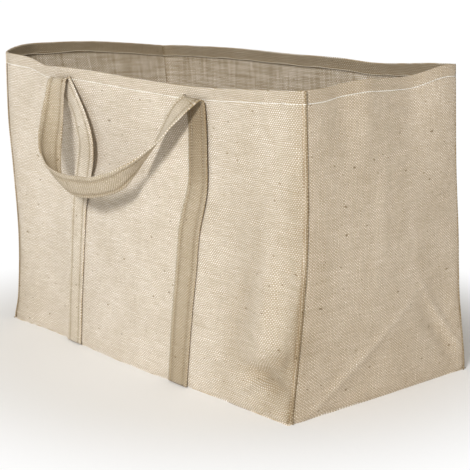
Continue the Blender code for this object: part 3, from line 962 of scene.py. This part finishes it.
def make_band_stitches(name, piece_name, settings, material):
    """Sew one band's two topstitch rows, with the thread showing on both faces."""
    samples = sample_band(band_frames(BANDS[name]))
    stitch = shape_stitch(BAND_STITCH_LENGTH, BAND_STITCH_RADIUS, settings.stitch_sides)
    stitches = bmesh.new()
    for sample in samples[1:-1]:
        for side in (-TOPSTITCH, TOPSTITCH):
            point, normal = band_surface(sample, side, settings.band_width / 2.0)
            for face in (-1.0, 1.0):
                lift = settings.band_thickness * BAND_STITCH_LIFT * face
                add_stitch(stitches, stitch, point + normal * lift, normal, sample[1])
    band = BANDS[name]
    for straps in (band.rising, band.falling):
        add_inner_rows(stitches, stitch, band.wall, straps, settings)
    finish_piece(piece_name, stitches, material)


def fill(tree, node, inputs):
    """Give a node's inputs, by name or by number, their numbers, colours or links."""
    for key, value in inputs.items():
        if isinstance(value, bpy.types.NodeSocket):
            tree.links.new(value, node.inputs[key])
        else:
            node.inputs[key].default_value = value


def add_node(tree, kind, inputs=None, **values):
    """Add a node, set its own values and fill its inputs."""
    made = tree.nodes.new(kind)
    for key, value in values.items():
        setattr(made, key, value)
    fill(tree, made, inputs or {})
    return made


def calc(tree, operation, *numbers):
    """Add a math node and give its result."""
    return add_node(
        tree, "ShaderNodeMath", dict(enumerate(numbers)), operation=operation).outputs[0]


def product(tree, factors):
    """Multiply several numbers, from the first to the last."""
    result = factors[0]
    for factor in factors[1:]:
        result = calc(tree, "MULTIPLY", result, factor)
    return result


def speckle(tree, across, along, kind):
    """Add noise that is stretched along the threads and give its strength."""
    place = add_node(tree, "ShaderNodeCombineXYZ", {
        0: calc(tree, "MULTIPLY", across, kind.across),
        1: calc(tree, "MULTIPLY", along, kind.along),
        2: kind.seed,
    })
    made = add_node(tree, "ShaderNodeTexNoise", {
        "Vector": place.outputs[0], "Scale": 1.0, "Detail": kind.detail})
    return made.outputs["Fac"]


def new_material(name, inputs):
    """Make a material with its shader's inputs and give it with its nodes."""
    material = bpy.data.materials.new(name)
    material.use_nodes = True
    tree = material.node_tree
    shader = tree.nodes["Principled BSDF"]
    fill(tree, shader, inputs)
    return material, tree, shader


def lay_threads(tree, u, v, pitches):
    """Lay warp and weft over and under each other."""
    # Threads wander a little from their straight lines
    bend_u = calc(tree, "MULTIPLY", speckle(tree, u, v, WARP_WANDER), pitches[0] * WANDER[0])
    bend_v = calc(tree, "MULTIPLY", speckle(tree, u, v, WEFT_WANDER), pitches[1] * WANDER[1])
    warp_place = calc(tree, "DIVIDE", calc(tree, "ADD", u, bend_u), pitches[0])
    weft_place = calc(tree, "DIVIDE", calc(tree, "ADD", v, bend_v), pitches[1])
    warp_wave = calc(tree, "SINE", calc(tree, "MULTIPLY", warp_place, math.pi))
    weft_wave = calc(tree, "SINE", calc(tree, "MULTIPLY", weft_place, math.pi))
    warp_round = calc(tree, "ABSOLUTE", warp_wave)
    weft_round = calc(tree, "ABSOLUTE", weft_wave)
    warp_over = calc(tree, "GREATER_THAN", calc(tree, "MULTIPLY", warp_wave, weft_wave), 0.0)
    warp_high = calc(tree, "MULTIPLY", warp_round, calc(tree, "MULTIPLY_ADD", weft_round, *CROWN))
    weft_high = calc(tree, "MULTIPLY", weft_round, calc(tree, "MULTIPLY_ADD", warp_round, *CROWN))
    # Tone of each single thread, changing slowly along it
    warp_tone = speckle(tree, calc(tree, "FLOOR", warp_place), v, WARP_TONE)
    weft_tone = speckle(tree, calc(tree, "FLOOR", weft_place), u, WEFT_TONE)
    high = add_node(tree, "ShaderNodeMix", {"Factor": warp_over, "A": weft_high, "B": warp_high})
    tone = add_node(tree, "ShaderNodeMix", {"Factor": warp_over, "A": weft_tone, "B": warp_tone})
    return Threads(high.outputs[0], warp_over, tone.outputs[0])


def shade_cloth(tree, u, v, threads, face):
    depth = face.depth
    cloudy = speckle(tree, u, v, CLOUDS)
    factors = [
        calc(tree, "MULTIPLY_ADD", threads.tone, *THREAD_SHADE),
        calc(tree, "MULTIPLY_ADD", speckle(tree, u, v, SLUBS), *SLUB_SHADE),
    ]
    if face.streaked:
        streaks = [speckle(tree, u, v, kind) for kind in (WARP_STREAKS, WEFT_STREAKS)]
        factors.append(calc(tree, "MULTIPLY_ADD", calc(tree, "ADD", *streaks), *STREAK_SHADE))
    # Painted shade in the gaps and on the warp on top, painted highlight on the thread crowns
    factors += [
        calc(tree, "MULTIPLY_ADD", threads.high, GAP_SHADE[0] * depth, 1.0 + GAP_SHADE[1] * depth),
        calc(tree, "MULTIPLY_ADD", threads.warp_over, -WARP_SHADE * depth, 1.0 + WARP_SHADE / 2.0 * depth),
        calc(tree, "MULTIPLY_ADD", cloudy, face.cloud, 1.0 - face.cloud / 2.0),
    ]
    return product(tree, factors)


def weave_material(name, colour, pitches, face=OUTER_FACE):
    """Make woven jute: threads over and under, uneven in tone and thickness."""
    material, tree, shader = new_material(name, {
        "Roughness": face.roughness, "Specular IOR Level": face.specular,
        "Sheen Weight": face.sheen, "Sheen Roughness": 0.6,
    })
    flat = add_node(tree, "ShaderNodeUVMap", uv_map="cloth")
    u, v = add_node(tree, "ShaderNodeSeparateXYZ", {0: flat.outputs[0]}).outputs[:2]
    threads = lay_threads(tree, u, v, pitches)
    shade = shade_cloth(tree, u, v, threads, face)
    # Dark flecks of bark and knots in the yarn
    fleck = add_node(tree, "ShaderNodeMapRange", {
        "Value": speckle(tree, u, v, FLECKS),
        "From Min": 0.72, "From Max": 0.77, "To Min": 1.0, "To Max": 0.45,
    })
    # Painted shade: the gaps between the threads are browner and darker than the threads
    gap_shade_colour = [part * left for part, left in zip(colour, GAP_SHADE_COLOUR)]
    blend = add_node(tree, "ShaderNodeMix", {
        "Factor": threads.high, 6: (*gap_shade_colour, 1.0), 7: (*colour, 1.0)}, data_type="RGBA")
    # Where the cloth is darker, by its own tone or by the painted shade and light it carries, it is
    # browner too
    tone = add_node(tree, "ShaderNodeAttribute", attribute_name="tone").outputs["Fac"]
    tone = product(tree, [tone, fleck.outputs[0], shade])
    browner = add_node(tree, "ShaderNodeCombineXYZ", {
        index: calc(tree, "POWER", tone, strength) for index, strength in enumerate(BROWNER)})
    toned = add_node(tree, "ShaderNodeVectorMath", {
        0: blend.outputs[2], 1: browner.outputs[0]}, operation="MULTIPLY")
    bump = add_node(tree, "ShaderNodeBump", {
        "Strength": face.relief, "Distance": 0.0007,
        "Height": calc(tree, "ADD", threads.high, calc(tree, "MULTIPLY", threads.tone, 0.8)),
    })
    uneven = add_node(tree, "ShaderNodeBump", {
        "Strength": 0.5, "Distance": 0.003,
        "Height": speckle(tree, u, v, LUMPS), "Normal": bump.outputs[0],
    })
    fill(tree, shader, {"Base Color": toned.outputs[0], "Normal": uneven.outputs[0]})
    return material


def thread_material(name, colour):
    """Make sewing thread with its twist."""
    material, tree, shader = new_material(name, {"Roughness": 0.7, "Sheen Weight": 0.2})
    place = add_node(tree, "ShaderNodeTexCoord").outputs["Object"]
    twist = add_node(tree, "ShaderNodeTexNoise", {"Vector": place, "Scale": 900.0})
    shade = calc(tree, "MULTIPLY_ADD", twist.outputs["Fac"], *TWIST_SHADE)
    twisted = add_node(
        tree, "ShaderNodeVectorMath", {0: tuple(colour), "Scale": shade}, operation="SCALE")
    fill(tree, shader, {"Base Color": twisted.outputs[0]})
    return material


def aim(thing, place, target):
    """Put a light or camera at its place and turn it to its target."""
    thing.location = place
    direction = Vector(target) - thing.location
    thing.rotation_euler = direction.to_track_quat("-Z", "Y").to_euler()


def make_floor():
    """Make the white floor, which glows evenly away from the bag."""
    ground = bmesh.new()
    bmesh.ops.create_circle(ground, cap_ends=True, segments=96, radius=FLOOR_RADIUS)
    mesh = finish_mesh("floor", ground)
    white, tree, shader = new_material(
        "white floor", {"Base Color": (0.95, 0.95, 0.95, 1.0), "Roughness": 0.9})
    place = add_node(tree, "ShaderNodeTexCoord").outputs["Object"]
    far = add_node(tree, "ShaderNodeVectorMath", {0: place}, operation="LENGTH")
    away = add_node(tree, "ShaderNodeMapRange", {
        "Value": far.outputs["Value"], "From Min": GLOW_FROM, "From Max": GLOW_TO,
    }, interpolation_type="SMOOTHSTEP")
    glow = add_node(tree, "ShaderNodeEmission", {"Strength": GLOW_STRENGTH})
    both = add_node(tree, "ShaderNodeMixShader", {
        0: away.outputs[0], 1: shader.outputs[0], 2: glow.outputs[0]})
    fill(tree, tree.nodes["Material Output"], {"Surface": both.outputs[0]})
    mesh.materials.append(white)
    add_object("floor", mesh)


def make_surroundings(settings):
    """Make the even light from all around, with white behind the bag for the camera."""
    world = bpy.data.worlds.new("white studio")
    world.use_nodes = True
    tree = world.node_tree
    seen = add_node(tree, "ShaderNodeLightPath").outputs["Is Camera Ray"]
    lift = BACKDROP_STRENGTH - settings.sky_strength
    strength = calc(tree, "MULTIPLY_ADD", seen, lift, settings.sky_strength)
    backdrop = add_node(tree, "ShaderNodeMix", {
        "Factor": seen, 6: (*settings.sky_colour, 1.0), 7: (1.0, 1.0, 1.0, 1.0),
    }, data_type="RGBA")
    fill(tree, tree.nodes["Background"], {"Strength": strength, "Color": backdrop.outputs[2]})
    bpy.context.scene.world = world
    bpy.context.scene.view_settings.view_transform = "Standard"


class LOGBAG_OT_walls(bpy.types.Operator):
    """Make the four hemmed walls of woven jute"""

    bl_idname = "logbag.walls"
    bl_label = "Make walls"

    def execute(self, context):
        settings = context.scene.log_bag
        pitches = (settings.warp_pitch, settings.weft_pitch)
        # The end panels' darker colour is painted shade
        cloths = {
            "long": (settings.cloth_colour, pitches),
            "end": (settings.end_cloth_shaded_colour, pitches[::-1]),
        }
        faces = {
            kind: (
                weave_material(kind + " jute cloth", colour, threads),
                weave_material(
                    kind + " jute lining face", settings.inside_colour, threads, INNER_FACE),
                weave_material(kind + " jute hem", settings.turned_hem_shaded_colour, threads),
            )
            for kind, (colour, threads) in cloths.items()
        }
        for name, wall in WALLS.items():
            kind = "long" if is_long(wall) else "end"
            make_wall(name, name.replace("panel", "cloth"), settings, *faces[kind])
        return {"FINISHED"}


class LOGBAG_OT_base(bpy.types.Operator):
    """Make the base panel"""

    bl_idname = "logbag.base"
    bl_label = "Make base"

    def execute(self, context):
        make_base(context.scene.log_bag, bpy.data.materials["long jute cloth"])
        return {"FINISHED"}


class LOGBAG_OT_bands(bpy.types.Operator):
    """Make the two folded carrying bands"""

    bl_idname = "logbag.bands"
    bl_label = "Make bands"

    def execute(self, context):
        settings = context.scene.log_bag
        pitches = [settings.warp_pitch, settings.warp_pitch * BAND_WEFT]
        material = weave_material("jute band", settings.band_colour, pitches)
        for name in BANDS:
            make_band(name, name.replace("band", "carrying_band"), settings, material)
        return {"FINISHED"}


class LOGBAG_OT_hem_stitches(bpy.types.Operator):
    """Sew the hems of the four walls"""

    bl_idname = "logbag.hem_stitches"
    bl_label = "Sew hems"

    def execute(self, context):
        settings = context.scene.log_bag
        material = thread_material("hem thread", settings.hem_thread_colour)
        inner_material = thread_material("inner hem thread", settings.inner_thread_colour)
        for name in WALLS:
            piece_name = name.replace("panel", "hem_stitches")
            make_hem_stitches(name, piece_name, settings, material, inner_material)
        return {"FINISHED"}


class LOGBAG_OT_band_stitches(bpy.types.Operator):
    """Sew the long edges of the two bands"""

    bl_idname = "logbag.band_stitches"
    bl_label = "Sew bands"

    def execute(self, context):
        settings = context.scene.log_bag
        material = thread_material("band thread", settings.band_thread_colour)
        for name in BANDS:
            make_band_stitches(name, name.replace("band", "band_stitches"), settings, material)
        return {"FINISHED"}


class LOGBAG_OT_stage(bpy.types.Operator):
    """Set up the pale floor, the soft light and the camera"""

    bl_idname = "logbag.stage"
    bl_label = "Set the stage"

    def execute(self, context):
        settings = context.scene.log_bag
        make_floor()
        make_surroundings(settings)
        lamp = bpy.data.lights.new("key", "AREA")
        lamp.size = LIGHT_SIZE
        lamp.energy = settings.key_power
        aim(add_object("key", lamp), LIGHT_PLACE, LIGHT_TARGET)
        lens = bpy.data.cameras.new("camera")
        lens.lens = CAMERA_LENS
        lens.sensor_width = CAMERA_SENSOR
        camera = add_object("camera", lens)
        aim(camera, CAMERA_PLACE, CAMERA_TARGET)
        context.scene.camera = camera
        return {"FINISHED"}


class LOGBAG_PT_panel(bpy.types.Panel):
    """List the steps that make the log bag"""

    bl_idname = "LOGBAG_PT_panel"
    bl_label = "Log bag"
    bl_space_type = "VIEW_3D"
    bl_region_type = "UI"
    bl_category = "Log bag"

    def draw(self, context):
        settings = context.scene.log_bag
        for key in LogBagSettings.__annotations__:
            self.layout.prop(settings, key)
        for step in STEPS:
            self.layout.operator(step.bl_idname)


STEPS = (
    LOGBAG_OT_walls, LOGBAG_OT_base, LOGBAG_OT_bands,
    LOGBAG_OT_hem_stitches, LOGBAG_OT_band_stitches, LOGBAG_OT_stage,
)


def register():
    """Register the settings, the steps and the panel."""
    for entry in (LogBagSettings, *STEPS, LOGBAG_PT_panel):
        bpy.utils.register_class(entry)
    bpy.types.Scene.log_bag = PointerProperty(type=LogBagSettings)


def unregister():
    """Remove what register() added."""
    del bpy.types.Scene.log_bag
    for entry in reversed((LogBagSettings, *STEPS, LOGBAG_PT_panel)):
        bpy.utils.unregister_class(entry)


def main():
    """Make the bag step by step."""
    register()
    bpy.ops.logbag.walls()
    bpy.ops.logbag.base()
    bpy.ops.logbag.bands()
    bpy.ops.logbag.hem_stitches()
    bpy.ops.logbag.band_stitches()
    bpy.ops.logbag.stage()


if __name__ == "__main__":
    main()
